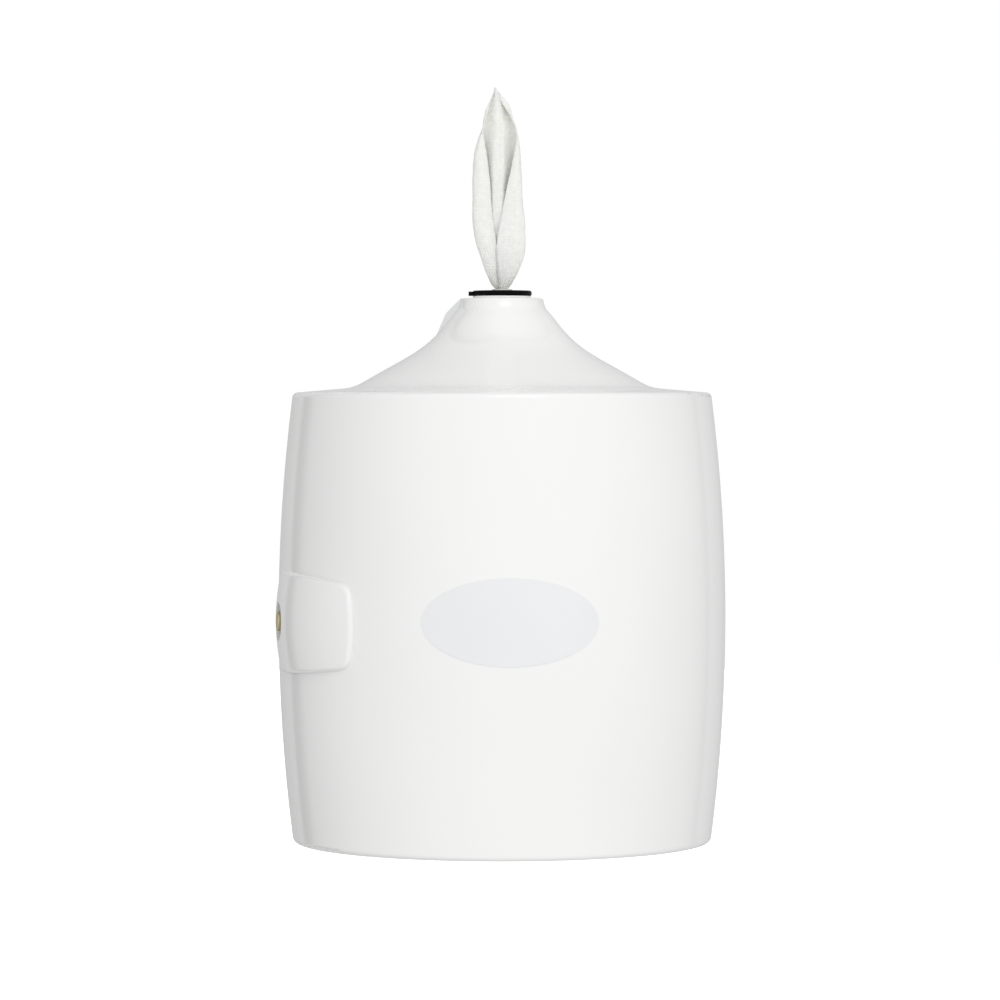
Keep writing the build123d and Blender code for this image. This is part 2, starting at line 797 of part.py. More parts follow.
def make_nozzle_collar():
    """Flanged collar snapped into the neck by four hooks, with entries for the ring's two tabs."""
    low = neck_top - collar_length
    flange_top = neck_top + collar_flange_height
    flange = upright(0, axis_y, neck_top, flange_top, collar_flange_radius)
    barrel = upright(0, axis_y, low, neck_top, collar_barrel_radius)
    hook_top = neck_top - neck_flange - collar_hook_gap
    hook_low = hook_top - collar_hook_height
    hooks = upright(0, axis_y, hook_low, hook_top, collar_barrel_radius + collar_hook)
    across = 2 * (collar_barrel_radius + collar_hook + past)
    bar = Pos(0, axis_y, hook_low) * Box(across, collar_hook_width, collar_length)
    crossed_bar = Pos(0, axis_y, hook_low) * Box(collar_hook_width, across, collar_length)
    collar = flange + barrel + (hooks & (bar + crossed_bar))
    collar = collar - upright(0, axis_y, low - past, flange_top + past, collar_bore_radius)
    slit_height = collar_length - collar_slit_end
    slit = Box(2 * collar_hook_width, collar_slit, slit_height)
    for k in range(collar_hook_count):
        turn = Pos(0, axis_y, low - past + slit_height / 2) * Rot(0, 0, 360 * k / collar_hook_count)
        for side in (-1, 1):
            collar = collar - turn * Pos(collar_barrel_radius, side * collar_slit_x, 0) * slit
    entry_depth = 2 * (ring_tab + ring_tab_play)
    entry_width = ring_tab_width + 2 * ring_tab_play
    for k in range(2):
        entry = Pos(collar_bore_radius, 0, 0) * Box(entry_depth, entry_width, 4 * collar_length)
        collar = collar - Pos(0, axis_y, neck_top) * Rot(0, 0, 45 + ring_twist + 180 * k) * entry
    return collar


def make_nozzle_ring():
    """Black ring with its lug; a spigot with two bayonet tabs holds it in the collar."""
    z0 = neck_top + collar_flange_height
    z1 = z0 + ring_height
    disc = chamfer(upright(0, axis_y, z0, z1, ring_radius).edges().filter_by(GeomType.CIRCLE), ring_edge)
    half = lug_width / 2
    root = lug_corner + ring_edge - ring_radius
    lug = box_between(-lug_reach, root, axis_y - half, axis_y + half, z0 + lug_step, z1 - lug_drop)
    lug = fillet(lug.edges().filter_by(Axis.Z).sort_by(Axis.X)[:2], lug_corner)
    low = neck_top - collar_length - ring_tab_gap - ring_tab_height
    tab_radius = ring_spigot + ring_tab
    tabs = upright(0, axis_y, low, low + ring_tab_height, tab_radius)
    bar = Box(2 * tab_radius + past, ring_tab_width, 4 * ring_tab_height)
    keep = Pos(0, axis_y, low) * Rot(0, 0, 45) * bar
    ring = disc + lug + upright(0, axis_y, low, z0 + ring_edge, ring_spigot) + (tabs & keep)
    ring = ring - upright(0, axis_y, low - past, z1 - ring_plate, ring_bore)
    ring = ring - upright(0, axis_y, z0, z1 + past, ring_opening)
    bead_top = z1 - ring_plate - button_flange_height - ring_bead_gap
    bead_low = bead_top - ring_bead_height
    bead = upright(0, axis_y, bead_low, bead_top, ring_bore + ring_bead)
    return ring + (bead - upright(0, axis_y, bead_low - past, bead_top + past, ring_bore - ring_bead))


def make_nozzle_diaphragm():
    """Pale button under the ring: a flange, a low dome and petals round the wipe."""
    flange_top = button_top - button_rise - ring_plate
    flange_low = flange_top - button_flange_height
    dome = upright(0, axis_y, flange_low, button_top, button_radius)
    rounded = dome.edges().filter_by(GeomType.CIRCLE).sort_by(Axis.Z)[-1:]
    dome = fillet(rounded, button_thickness * 0.9)
    flange = upright(0, axis_y, flange_low, flange_top, button_flange_radius)
    inside = button_radius - button_thickness
    button = dome + flange
    button = button - upright(0, axis_y, flange_low - past, button_top - button_thickness, inside)
    button = button - upright(0, axis_y, flange_low, button_top + past, strand_radius + strand_clearance)
    for k in range(petal_count):
        slit = Pos(inside / 2, 0, 0) * Box(inside, petal_slit, 4 * button_thickness)
        button = button - Pos(0, axis_y, button_top) * Rot(0, 0, 360 * k / petal_count) * slit
    return button


def make_front_label():
    """Oval sticker that follows the barrel."""
    outline = Plane.XZ * Pos(label_x, label_level, 0) * Ellipse(label_half_width, label_half_height)
    prism = Pos(0, axis_y, 0) * extrude(outline, amount=beyond, dir=(0, -1, 0))
    return (round_volume(-label_thickness) & prism) - round_volume(0)


def cam_depth():
    return lock_barrel_end + cam_gap + cam_thickness / 2


def make_lock_body():
    """Flanged barrel of the lock, its flange lying on the recess's floor."""
    flange = lock_disc(recess_depth - lock_flange_height, recess_depth, lock_flange_radius)
    flange = chamfer(flange.edges().filter_by(GeomType.CIRCLE).sort_by(Axis.X)[:1], lock_edge)
    body = flange + lock_disc(recess_depth - sink, lock_barrel_end, lock_barrel_radius)
    body = body - lock_disc(-past, recess_depth + plug_shoulder, plug_face_radius + plug_clearance)
    return body - lock_disc(0, lock_barrel_end + past, plug_radius + plug_clearance)


def make_lock_nut():
    low = recess_depth + lock_boss_floor
    hexagon = RegularPolygon(nut_across / 2, 6, major_radius=False)
    nut = lock_frame(low) * extrude(hexagon, amount=nut_height)
    return nut - lock_disc(low - past, low + nut_height + past, lock_barrel_radius)


def wafer_depths():
    first = recess_depth + wafer_start
    return [first + k * wafer_pitch for k in range(wafer_count)]


def make_lock_plug():
    """Brass plug with its key slot, wafer slots and a square tail that drives the cam."""
    face = lock_disc(-plug_proud, recess_depth + plug_shoulder - plug_face_gap, plug_face_radius)
    face = chamfer(face.edges().filter_by(GeomType.CIRCLE).sort_by(Axis.X)[:1], lock_edge)
    plug = face + lock_disc(recess_depth, lock_barrel_end, plug_radius)
    half = cam_square / 2 - cam_square_play
    tail_end = cam_depth() + cam_thickness / 2 - tail_short
    plug = plug + lock_box(lock_barrel_end - sink, tail_end, -half, half, -half, half)
    slot_h = key_slot_height / 2
    slot_w = key_slot_width / 2
    plug = plug - lock_box(-past, key_slot_depth, -slot_h, slot_h, -slot_w, slot_w)
    w = wafer_width / 2
    half_t = wafer_thickness / 2 + wafer_clearance
    for depth in wafer_depths():
        plug = plug - lock_box(depth - half_t, depth + half_t, -plug_face_radius, plug_face_radius, -w, w)
    return plug - lock_disc(tail_end - cam_screw_length, tail_end + past, cam_screw_radius)


def make_lock_wafers():
    w = wafer_width / 2 - wafer_clearance
    half_t = wafer_thickness / 2
    window_h = key_slot_height / 2 - wafer_window_inset
    window_w = key_slot_width / 2
    wafers = []
    for depth in wafer_depths():
        d0 = depth - half_t
        d1 = depth + half_t
        blank = lock_box(d0, d1, -plug_radius, plug_radius, -w, w)
        blank = blank & lock_disc(d0, d1, plug_radius - wafer_clearance)
        window = lock_box(d0 - past, d1 + past, -window_h, window_h, -window_w, window_w)
        wafers.append(blank - window)
    return wafers


def make_lock_cam():
    """Hooked cam, hanging down in the open position; its notch takes the strike's stud."""
    d0 = cam_depth() - cam_thickness / 2
    d1 = cam_depth() + cam_thickness / 2
    hub = lock_disc(d0, d1, cam_hub_radius)
    arm = lock_box(d0, d1, -cam_reach, 0, -cam_tip_half_width, cam_tip_half_width)
    ends = arm.edges().filter_by(lambda e: abs(e.length - cam_thickness) < 1e-4).sort_by(Axis.Z)[:2]
    cam = hub + fillet(ends, cam_corner)
    notch_floor = stud_radius + notch_gap
    reach0 = -stud_reach - notch_half_width
    reach1 = -stud_reach + notch_half_width
    outside = -cam_tip_half_width - past
    cam = cam - lock_box(d0 - past, d1 + past, reach0, reach1, outside, notch_floor)
    half = cam_square / 2
    return cam - lock_box(d0 - past, d1 + past, -half, half, -half, half)


def make_cam_washer():
    d0 = cam_depth() + cam_thickness / 2
    d1 = d0 + washer_thickness
    return lock_disc(d0, d1, washer_radius) - lock_disc(d0 - past, d1 + past, cam_screw_radius + washer_play)


def make_cam_screw():
    d0 = cam_depth() + cam_thickness / 2 + washer_thickness
    top = d0 + screw_head_height
    shank = lock_disc(d0 - cam_screw_length, d0, cam_screw_radius)
    head = lock_disc(d0, top, screw_head_radius)
    half = screw_slot_width / 2
    reach = screw_head_radius + past
    slot = lock_box(top - screw_slot_depth, top + past, -reach, reach, -half, half)
    return shank + head - slot


def save(shape, name):
    if isinstance(shape, list):
        shape = Compound(children=shape)
    export_step(shape, "parts/" + name + ".step")


def main():
    save(make_rear_housing(), "rear_housing")
    save(make_front_cover(), "front_cover")
    save(make_front_label(), "front_label")
    save(make_roll_shelf(), "roll_shelf")
    save(make_shelf_screws(), "shelf_screws")
    save(make_strike_bracket(), "strike_bracket")
    save(make_strike_stud(), "strike_stud")
    save(make_strike_screws(), "strike_screws")
    save(make_hinge_pin(hinge_level), "hinge_pin_upper")
    save(make_hinge_pin(-hinge_level), "hinge_pin_lower")
    save(make_wipe_roll(), "wipe_roll")
    save(make_wipe_strand(), "wipe_strand")
    save(make_wipe(), "wipe")
    save(make_nozzle_collar(), "nozzle_collar")
    save(make_nozzle_ring(), "nozzle_ring")
    save(make_nozzle_diaphragm(), "nozzle_diaphragm")
    save(make_lock_body(), "lock_body")
    save(make_lock_nut(), "lock_nut")
    save(make_lock_plug(), "lock_plug")
    save(make_lock_wafers(), "lock_wafers")
    save(make_lock_cam(), "lock_cam")
    save(make_cam_washer(), "cam_washer")
    save(make_cam_screw(), "cam_screw")


os.makedirs("parts", exist_ok=True)
main()
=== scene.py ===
import math

import bpy
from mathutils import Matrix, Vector, noise


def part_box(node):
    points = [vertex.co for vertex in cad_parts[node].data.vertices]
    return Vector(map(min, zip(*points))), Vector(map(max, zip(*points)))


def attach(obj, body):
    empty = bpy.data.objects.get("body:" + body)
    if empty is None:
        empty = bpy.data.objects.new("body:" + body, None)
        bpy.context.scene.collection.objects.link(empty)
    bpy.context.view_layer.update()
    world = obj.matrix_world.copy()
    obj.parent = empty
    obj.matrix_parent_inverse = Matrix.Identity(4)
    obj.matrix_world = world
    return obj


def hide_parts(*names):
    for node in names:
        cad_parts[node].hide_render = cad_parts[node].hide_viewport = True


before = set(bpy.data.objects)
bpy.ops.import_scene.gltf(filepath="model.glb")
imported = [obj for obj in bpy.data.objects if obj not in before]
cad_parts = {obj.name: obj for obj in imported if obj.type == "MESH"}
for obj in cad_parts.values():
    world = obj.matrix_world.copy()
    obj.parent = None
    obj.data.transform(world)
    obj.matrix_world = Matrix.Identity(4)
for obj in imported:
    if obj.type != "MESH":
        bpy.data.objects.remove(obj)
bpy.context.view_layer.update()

# Places read from the frame, in metres
ROLL_LOW, ROLL_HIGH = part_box("wipe_roll")
STRAND_LOW, STRAND_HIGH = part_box("wipe_strand")
WIPE_LOW, WIPE_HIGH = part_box("wipe")
RING_LOW, RING_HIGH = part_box("nozzle_ring")
AXIS_Y = (ROLL_LOW[1] + ROLL_HIGH[1]) / 2
NOZZLE_TOP = RING_HIGH[2]
ROLL_RADIUS = (ROLL_HIGH[0] - ROLL_LOW[0]) / 2
CORE_RADIUS = 0.020

# The web of cloth, gathered into a strand: the pleats' inner folds and their unevenness are shares of
# the strand's radius, and the web goes round a share of a full turn
STRAND_RADIUS = 0.0037
STRAND_REACH = STRAND_RADIUS * 0.97
PLEATS = 36
PLEAT_FLOOR = 0.16
PLEAT_UNEVENNESS = 0.12
WRAP = 0.985

# The wipe as it stands: heights above the nozzle's top and its left and right edges, in metres
WIPE_EDGES = [
    (0.0010, -0.0040, 0.0034),
    (0.0040, -0.0065, 0.0056),
    (0.0090, -0.0089, 0.0085),
    (0.0140, -0.0109, 0.0109),
    (0.0190, -0.0128, 0.0127),
    (0.0240, -0.0147, 0.0140),
    (0.0290, -0.0164, 0.0145),
    (0.0340, -0.0176, 0.0145),
    (0.0440, -0.0184, 0.0143),
    (0.0540, -0.0187, 0.0133),
    (0.0640, -0.0187, 0.0127),
    (0.0740, -0.0182, 0.0124),
    (0.0840, -0.0176, 0.0120),
    (0.0890, -0.0165, 0.0114),
    (0.0940, -0.0152, 0.0108),
    (0.0990, -0.0134, 0.0097),
    (0.1040, -0.0119, 0.0084),
    (0.1090, -0.0112, 0.0065),
    (0.1140, -0.0101, 0.0055),
    (0.1190, -0.0084, 0.0036),
    (0.1240, -0.0064, 0.0000),
    (0.1275, -0.0048, -0.0040),
]
# Edges of the two flaps folded over the middle panel, by height as above
FLAP_EDGES = [
    (0.0010, -0.0010, -0.0028),
    (0.0120, -0.0016, -0.0036),
    (0.0250, -0.0032, -0.0038),
    (0.0357, -0.0046, -0.0025),
    (0.0445, -0.0058, -0.0008),
    (0.0533, -0.0067, 0.0006),
    (0.0670, -0.0075, 0.0036),
    (0.0740, -0.0082, 0.0052),
    (0.0846, -0.0096, 0.0074),
    (0.0960, -0.0113, 0.0091),
    (0.1035, -0.0118, 0.0090),
    (0.1275, -0.0050, -0.0038),
]
LEAF_FOOT = WIPE_EDGES[0][0]
LEAF_HEIGHT = WIPE_EDGES[-1][0]
# Above this height the side edges droop by up to this much, and each upper corner lacks a triangle this high
TIP_START = 0.1
TIP_DROOP = 0.004


def smooth(a, b, x):
    """Smooth step of x: 0 at a and 1 at b."""
    t = min(max((x - a) / (b - a), 0.0), 1.0)
    return t * t * (3 - 2 * t)


def lookup(rows, x, column):
    """A column of a table, read between its rows along straight lines."""
    if x <= rows[0][0]:
        return rows[0][column]
    for low, high in zip(rows, rows[1:]):
        if x <= high[0]:
            t = (x - low[0]) / (high[0] - low[0])
            return low[column] + (high[column] - low[column]) * t
    return rows[-1][column]


def catmull(points, t):
    """Point on a Catmull-Rom curve through 2-D points, for t from 0 to 1."""
    spans = len(points) - 1
    k = min(int(t * spans), spans - 1)
    f = t * spans - k
    p0 = points[max(k - 1, 0)]
    p1 = points[k]
    p2 = points[k + 1]
    p3 = points[min(k + 2, spans)]
    out = []
    for a, b, c, d in zip(p0, p1, p2, p3):
        square = 2 * a - 5 * b + 4 * c - d
        cube = 3 * b - a - 3 * c + d
        out.append(0.5 * (2 * b + (c - a) * f + square * f * f + cube * f ** 3))
    return out


# Materials


def new_material(name, color, roughness, specular=0.5):
    mat = bpy.data.materials.new(name)
    mat.use_nodes = True
    shader = mat.node_tree.nodes["Principled BSDF"]
    shader.inputs["Base Color"].default_value = (*color, 1.0)
    shader.inputs["Roughness"].default_value = roughness
    shader.inputs["Specular IOR Level"].default_value = specular
    return mat, shader


def join(mat, source, target):
    mat.node_tree.links.new(source, target)


def object_position(mat):
    return mat.node_tree.nodes.new("ShaderNodeTexCoord").outputs["Object"]


def bump(mat, shader, height, distance, strength, after=None):
    """A bump on the shader's normal, on top of the one given as after."""
    node = mat.node_tree.nodes.new("ShaderNodeBump")
    node.inputs["Distance"].default_value = distance
    node.inputs["Strength"].default_value = strength
    join(mat, height, node.inputs["Height"])
    if after is not None:
        join(mat, after.outputs["Normal"], node.inputs["Normal"])
    join(mat, node.outputs["Normal"], shader.inputs["Normal"])
    return node


def noise_height(mat, scale, detail, position=None):
    node = mat.node_tree.nodes.new("ShaderNodeTexNoise")
    node.inputs["Scale"].default_value = scale
    node.inputs["Detail"].default_value = detail
    join(mat, position or object_position(mat), node.inputs["Vector"])
    return node.outputs["Fac"]


def crepe_height(mat, position):
    """Wavering crosswise lines of the cloth."""
    node = mat.node_tree.nodes.new("ShaderNodeTexWave")
    node.wave_type = "BANDS"
    node.bands_direction = "Z"
    node.inputs["Scale"].default_value = 170.0
    node.inputs["Distortion"].default_value = 4.5
    node.inputs["Detail"].default_value = 2.0
    node.inputs["Detail Scale"].default_value = 1.2
    join(mat, position, node.inputs["Vector"])
    return node.outputs["Fac"]


def tinted(mat, shader, factor, low, high):
    """Colour that wanders between two tints."""
    ramp = mat.node_tree.nodes.new("ShaderNodeValToRGB")
    first, last = ramp.color_ramp.elements
    first.position = 0.3
    first.color = (*low, 1.0)
    last.position = 0.7
    last.color = (*high, 1.0)
    join(mat, factor, ramp.inputs["Fac"])
    join(mat, ramp.outputs["Color"], shader.inputs["Base Color"])


def darker(color, share):
    return tuple(c * share for c in color)


def moulded_plastic(name, color, roughness):
    """Polished moulding: a faint long waviness and a finer haze in its gloss."""
    mat, shader = new_material(name, color, roughness)
    shader.inputs["Coat Weight"].default_value = 0.35
    shader.inputs["Coat Roughness"].default_value = 0.04
    sink = noise_height(mat, 9.0, 1.0)
    first = bump(mat, shader, sink, 0.00002, 0.5)
    bump(mat, shader, noise_height(mat, 260.0, 3.0), 0.000004, 0.4, first)
    tinted(mat, shader, sink, darker(color, 0.975), color)
    return mat


def satin_plastic(name, color, roughness, specular=0.5):
    """Moulding with a fine spark-eroded grain."""
    mat, shader = new_material(name, color, roughness, specular)
    bump(mat, shader, noise_height(mat, 1800.0, 4.0), 0.00003, 0.35)
    tinted(mat, shader, noise_height(mat, 30.0, 2.0), darker(color, 0.9), color)
    return mat


def turned_metal(name, color, roughness):
    """Plated or turned metal with fine scratches."""
    mat, shader = new_material(name, color, roughness)
    shader.inputs["Metallic"].default_value = 1.0
    bump(mat, shader, noise_height(mat, 900.0, 6.0), 0.00001, 0.3)
    tinted(mat, shader, noise_height(mat, 160.0, 3.0), darker(color, 0.78), color)
    return mat


def label_film():
    """Blank printed film, a touch cooler and less glossy than the cover."""
    mat, shader = new_material("label_film", (0.80, 0.805, 0.815), 0.3)
    patch = noise_height(mat, 14.0, 2.0)
    tinted(mat, shader, patch, (0.792, 0.797, 0.807), (0.818, 0.823, 0.833))
    bump(mat, shader, noise_height(mat, 1400.0, 3.0), 0.000006, 0.4)
    return mat


def silicone():
    """Clear rubber, slightly milky."""
    mat, shader = new_material("clear_silicone", (0.80, 0.85, 0.78), 0.28)
    shader.inputs["Transmission Weight"].default_value = 0.35
    shader.inputs["Subsurface Weight"].default_value = 0.4
    shader.inputs["Subsurface Radius"].default_value = (0.004, 0.005, 0.004)
    shader.inputs["Subsurface Scale"].default_value = 1.0
    bump(mat, shader, noise_height(mat, 500.0, 3.0), 0.00001, 0.4)
    return mat


def wipe_cloth(name):
    """Moist non-woven cloth: crosswise crepe lines, tangled fibres and soft light through it."""
    mat, shader = new_material(name, (0.87, 0.868, 0.835), 0.8, 0.2)
    shader.inputs["Sheen Weight"].default_value = 0.25
    shader.inputs["Sheen Roughness"].default_value = 0.5
    shader.inputs["Subsurface Weight"].default_value = 0.4
    shader.inputs["Subsurface Radius"].default_value = (0.005, 0.005, 0.0045)
    shader.inputs["Subsurface Scale"].default_value = 1.0
    position = object_position(mat)
    first = bump(mat, shader, crepe_height(mat, position), 0.00022, 0.45)
    bump(mat, shader, noise_height(mat, 2600.0, 5.0, position), 0.0001, 0.35, first)
    mottle = noise_height(mat, 420.0, 4.0, position)
    tinted(mat, shader, mottle, (0.85, 0.848, 0.82), (0.91, 0.908, 0.875))
    return mat


# Pieces


def mesh_piece(name, vertices, faces, material, body):
    """A smooth piece of cloth that rides on a body."""
    mesh = bpy.data.meshes.new(name)
    mesh.from_pydata(vertices, [], faces)
    mesh.validate()
    mesh.update()
    for polygon in mesh.polygons:
        polygon.use_smooth = True
    piece = bpy.data.objects.new(name, mesh)
    bpy.context.scene.collection.objects.link(piece)
    piece.data.materials.append(material)
    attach(piece, body)
    return piece


def sheet_faces(rows, columns):
    """Faces between the points of an open sheet, row by row."""
    faces = []
    for i in range(rows - 1):
        for j in range(columns - 1):
            a = i * columns + j
            b = a + 1
            faces.append((a, b, b + columns, a + columns))
    return faces


def unevenness(*place):
    """Noise at a place, from 0 to 1."""
    return 0.5 + 0.5 * noise.noise(Vector(place))


def gathered_section(s, twist):
    """Point across a gathered strand, its pleats round a middle, for s from 0 to 1 over the sheet's width."""
    angle = -math.pi / 2 - 2 * math.pi * s * WRAP + twist
    wave = 0.5 + 0.5 * math.cos(2 * math.pi * PLEATS * s)
    wobble = PLEAT_UNEVENNESS * noise.noise(Vector((s * 9.0, twist * 2.0, 3.1)))
    reach = STRAND_REACH * (PLEAT_FLOOR + (1 - PLEAT_FLOOR + min(wobble, 0.0)) * wave)
    return reach * math.cos(angle), reach * math.sin(angle)


def leaf_section(s, height):
    """Point across the standing leaf: a middle panel between two flaps folded over its front."""
    left = lookup(WIPE_EDGES, height, 1)
    right = lookup(WIPE_EDGES, height, 2)
    half = (right - left) / 2
    least_flap = 0.10 * half
    left_edge = max(lookup(FLAP_EDGES, height, 1), left + least_flap)
    right_edge = min(lookup(FLAP_EDGES, height, 2), right - least_flap)
    seen_middle = (max(left_edge, left + 0.3 * half) + right_edge) / 2
    fullness = smooth(0.11, 0.05, height)
    depth = half * (0.42 + 0.08 * fullness)
    panel = 0.30 + 0.17 * fullness
    left_flap = [
        (left_edge, -(0.42 + 0.13 * fullness) * depth),
        ((2 * left_edge + left) / 3, -0.66 * depth),
        ((left_edge + 2 * left) / 3, -0.66 * depth),
        (left + 0.05 * half, -0.42 * depth),
    ]
    middle = [
        (left, 0.05 * depth),
        (left + 0.10 * half, 0.52 * depth),
        (left + 0.38 * half, 0.50 * depth),
        ((seen_middle + left + 0.5 * half) / 2, (0.05 - panel) * depth),
        (seen_middle, -panel * depth),
        ((seen_middle + right - 0.5 * half) / 2, (0.05 - panel) * depth),
        (right - 0.34 * half, 0.56 * depth),
        (right - 0.10 * half, 0.55 * depth),
        (right, 0.05 * depth),
    ]
    right_flap = [
        (right - 0.05 * half, -0.50 * depth),
        ((right_edge + 2 * right) / 3, -0.80 * depth),
        ((2 * right_edge + right) / 3, -0.76 * depth),
        (right_edge, -0.63 * depth),
    ]
    return catmull(left_flap + middle + right_flap, s)


def surface_offset(s, x, y, height):
    """How far the leaf's surface leaves its smooth section: fading pleats and crumples."""
    pleat = 0.00025 * (1 - smooth(0.002, 0.040, height)) * math.cos(2 * math.pi * PLEATS * s)
    crumple = 0.0006 * noise.noise(Vector((x * 95, y * 95 + 4.0, height * 60)))
    crumple += 0.00028 * noise.noise(Vector((x * 330, y * 330, height * 210)))
    return pleat + crumple * smooth(0.0, 0.02, height)


def wipe_point(s, height):
    """Point across the moving wipe at a height above the nozzle: strand below, leaf above."""
    gathered_x, gathered_y = gathered_section(s, 7.0 * height)
    open_share = smooth(-0.006, 0.004, height)
    if open_share <= 0:
        return gathered_x, gathered_y
    step = 0.002
    leaf_height = max(height, LEAF_FOOT)
    x, y = leaf_section(s, leaf_height)
    x0, y0 = leaf_section(max(s - step, 0.0), leaf_height)
    x1, y1 = leaf_section(min(s + step, 1.0), leaf_height)
    offset = surface_offset(s, x, y, height) / math.hypot(x1 - x0, y1 - y0)
    leaf_x = x - (y1 - y0) * offset
    leaf_y = y + (x1 - x0) * offset
    return (
        gathered_x + (leaf_x - gathered_x) * open_share,
        gathered_y + (leaf_y - gathered_y) * open_share,
    )


def make_wipe(material):
    """The moving wipe: a pleated strand through the neck that opens into the standing leaf."""
    bottom = WIPE_LOW[2] + 0.0006
    strand_rows = 46
    leaf_rows = 150
    rows = [bottom + (NOZZLE_TOP - bottom) * k / strand_rows for k in range(strand_rows)]
    rows += [NOZZLE_TOP + LEAF_HEIGHT * k / leaf_rows for k in range(leaf_rows + 1)]
    columns = 290
    vertices = []
    for z in rows:
        height = z - NOZZLE_TOP
        droop = TIP_DROOP * smooth(TIP_START, LEAF_HEIGHT, height)
        for j in range(columns):
            s = j / (columns - 1)
            x, y = wipe_point(s, height)
            vertices.append((x, AXIS_Y + y, z - droop * abs(s - 0.5) * 2))
    piece = mesh_piece("wipe_sheet", vertices, sheet_faces(len(rows), columns), material, "wipe")
    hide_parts("wipe")


def strand_route(t):
    """Middle of the strand for t from 0 to 1: slanting in from the core's side, then straight up its axis."""
    start = Vector((STRAND_LOW[0] + STRAND_RADIUS, AXIS_Y, STRAND_LOW[2] + 0.001))
    turn = Vector((0.0, AXIS_Y, 0.020))
    end = Vector((0.0, AXIS_Y, STRAND_HIGH[2] - 0.0004))
    slanting = start.lerp(turn, min(t * 2, 1.0) * 0.93)
    rising = turn.lerp(end, max(t * 2 - 1, 0.0))
    return slanting.lerp(rising, smooth(0.42, 0.62, t))


def make_strand(material):
    """The gathered wipe inside the roll's core."""
    rows = 61
    columns = 220
    step = 0.02
    vertices = []
    for k in range(rows):
        t = k / (rows - 1)
        middle = strand_route(t)
        ahead = strand_route(min(t + step, 1.0)) - strand_route(max(t - step, 0.0))
        ahead.normalize()
        side = ahead.cross(Vector((0, 1, 0))).normalized()
        front = side.cross(ahead).normalized()
        for j in range(columns):
            x, y = gathered_section(j / (columns - 1), 1.4 * t)
            vertices.append(middle - side * x - front * y)
    piece = mesh_piece("strand_sheet", vertices, sheet_faces(rows, columns), material, "housing")
    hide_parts("wipe_strand")


def roll_profile():
    """Radius and height of the roll's section: lower end, rounded edge, side, rounded edge, upper end."""
    z0, z1 = ROLL_LOW[2], ROLL_HIGH[2]
    inner = CORE_RADIUS + 0.0004
    outer = ROLL_RADIUS - 0.0005
    turns = 44
    edge = 0.0025
    edge_steps = 8
    side_steps = 24
    side_inset = 0.004
    corner = outer - edge
    quarter = [math.pi / 2 * k / edge_steps for k in range(edge_steps + 1)]
    profile = [(inner, z0 + 0.0014)]
    for k in range(turns + 1):
        r = CORE_RADIUS + 0.0008 + (outer - CORE_RADIUS - 0.002) * k / turns
        profile.append((r, z0 + 0.0002 + 0.0006 * unevenness(k * 0.83, 1.7, 0.0)))
    for a in quarter:
        profile.append((corner + edge * math.sin(a), z0 + 0.0027 - edge * math.cos(a)))
    for k in range(1, side_steps):
        z = z0 + side_inset + (z1 - z0 - 2 * side_inset) * k / side_steps
        profile.append((outer - 0.0008 * unevenness(0.4, k * 0.7, 2.0), z))
    for a in quarter:
        profile.append((corner + edge * math.cos(a), z1 - 0.0027 + edge * math.sin(a)))
    for k in range(turns * 2 + 1):
        r = outer - 0.003 - (outer - CORE_RADIUS - 0.004) * k / (turns * 2)
        groove = 0.0007 * (k % 2)
        profile.append((r, z1 - 0.0002 - groove - 0.00044 * unevenness(k * 0.61, 8.3, 0.0)))
    profile.append((inner, z1 - 0.0014))
    return profile


def make_roll(material):
    """The roll: its profile turned about the dispenser's axis."""
    profile = roll_profile()
    around = 128
    vertices = []
    for i in range(around):
        a = 2 * math.pi * i / around
        for r, z in profile:
            vertices.append((r * math.cos(a), AXIS_Y + r * math.sin(a), z))
    n = len(profile)
    faces = []
    for i in range(around):
        here = i * n
        beside = ((i + 1) % around) * n
        for j in range(n):
            above = (j + 1) % n
            faces.append((here + j, beside + j, beside + above, here + above))
    piece = mesh_piece("wound_roll", vertices, faces, material, "housing")
    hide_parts("wipe_roll")


def dress_nodes():
    """Give each CAD node its material."""
    white = moulded_plastic("cover_abs", (0.885, 0.885, 0.88), 0.14)
    grey = moulded_plastic("housing_abs", (0.80, 0.815, 0.82), 0.3)
    collar = moulded_plastic("collar_abs", (0.90, 0.90, 0.895), 0.22)
    shelf = satin_plastic("shelf_satin", (0.84, 0.84, 0.83), 0.45)
    black = satin_plastic("ring_satin", (0.003, 0.003, 0.003), 0.42, 0.05)
    nickel = turned_metal("dark_nickel", (0.16, 0.16, 0.155), 0.3)
    brass = turned_metal("worn_brass", (0.80, 0.70, 0.42), 0.32)
    zinc = turned_metal("zinc_plate", (0.62, 0.63, 0.65), 0.34)
    steel = turned_metal("bright_steel", (0.58, 0.58, 0.58), 0.2)
    finishes = {
        white: ["front_cover"],
        grey: ["rear_housing"],
        collar: ["nozzle_collar"],
        shelf: ["roll_shelf"],
        black: ["nozzle_ring"],
        silicone(): ["nozzle_diaphragm"],
        label_film(): ["front_label"],
        nickel: ["lock_body", "lock_nut"],
        brass: ["lock_plug", "lock_wafers"],
        zinc: [
            "lock_cam",
            "cam_washer",
            "cam_screw",
            "strike_bracket",
            "strike_stud",
            "strike_screws",
            "shelf_screws",
        ],
        steel: ["hinge_pin_upper", "hinge_pin_lower"],
    }
    for material, nodes in finishes.items():
        for node in nodes:
            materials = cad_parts[node].data.materials
            materials.clear()
            materials.append(material)


# Camera, placed so that the object lies in the frame as it does in the photograph

EYE = Vector((-0.068, AXIS_Y - 2.87, 0.140))
AIM = Vector((-0.00125, AXIS_Y, 0.0742))
METRES_PER_PIXEL = 0.000627
FRAME_PIXELS = 1000
SENSOR_MM = 36.0


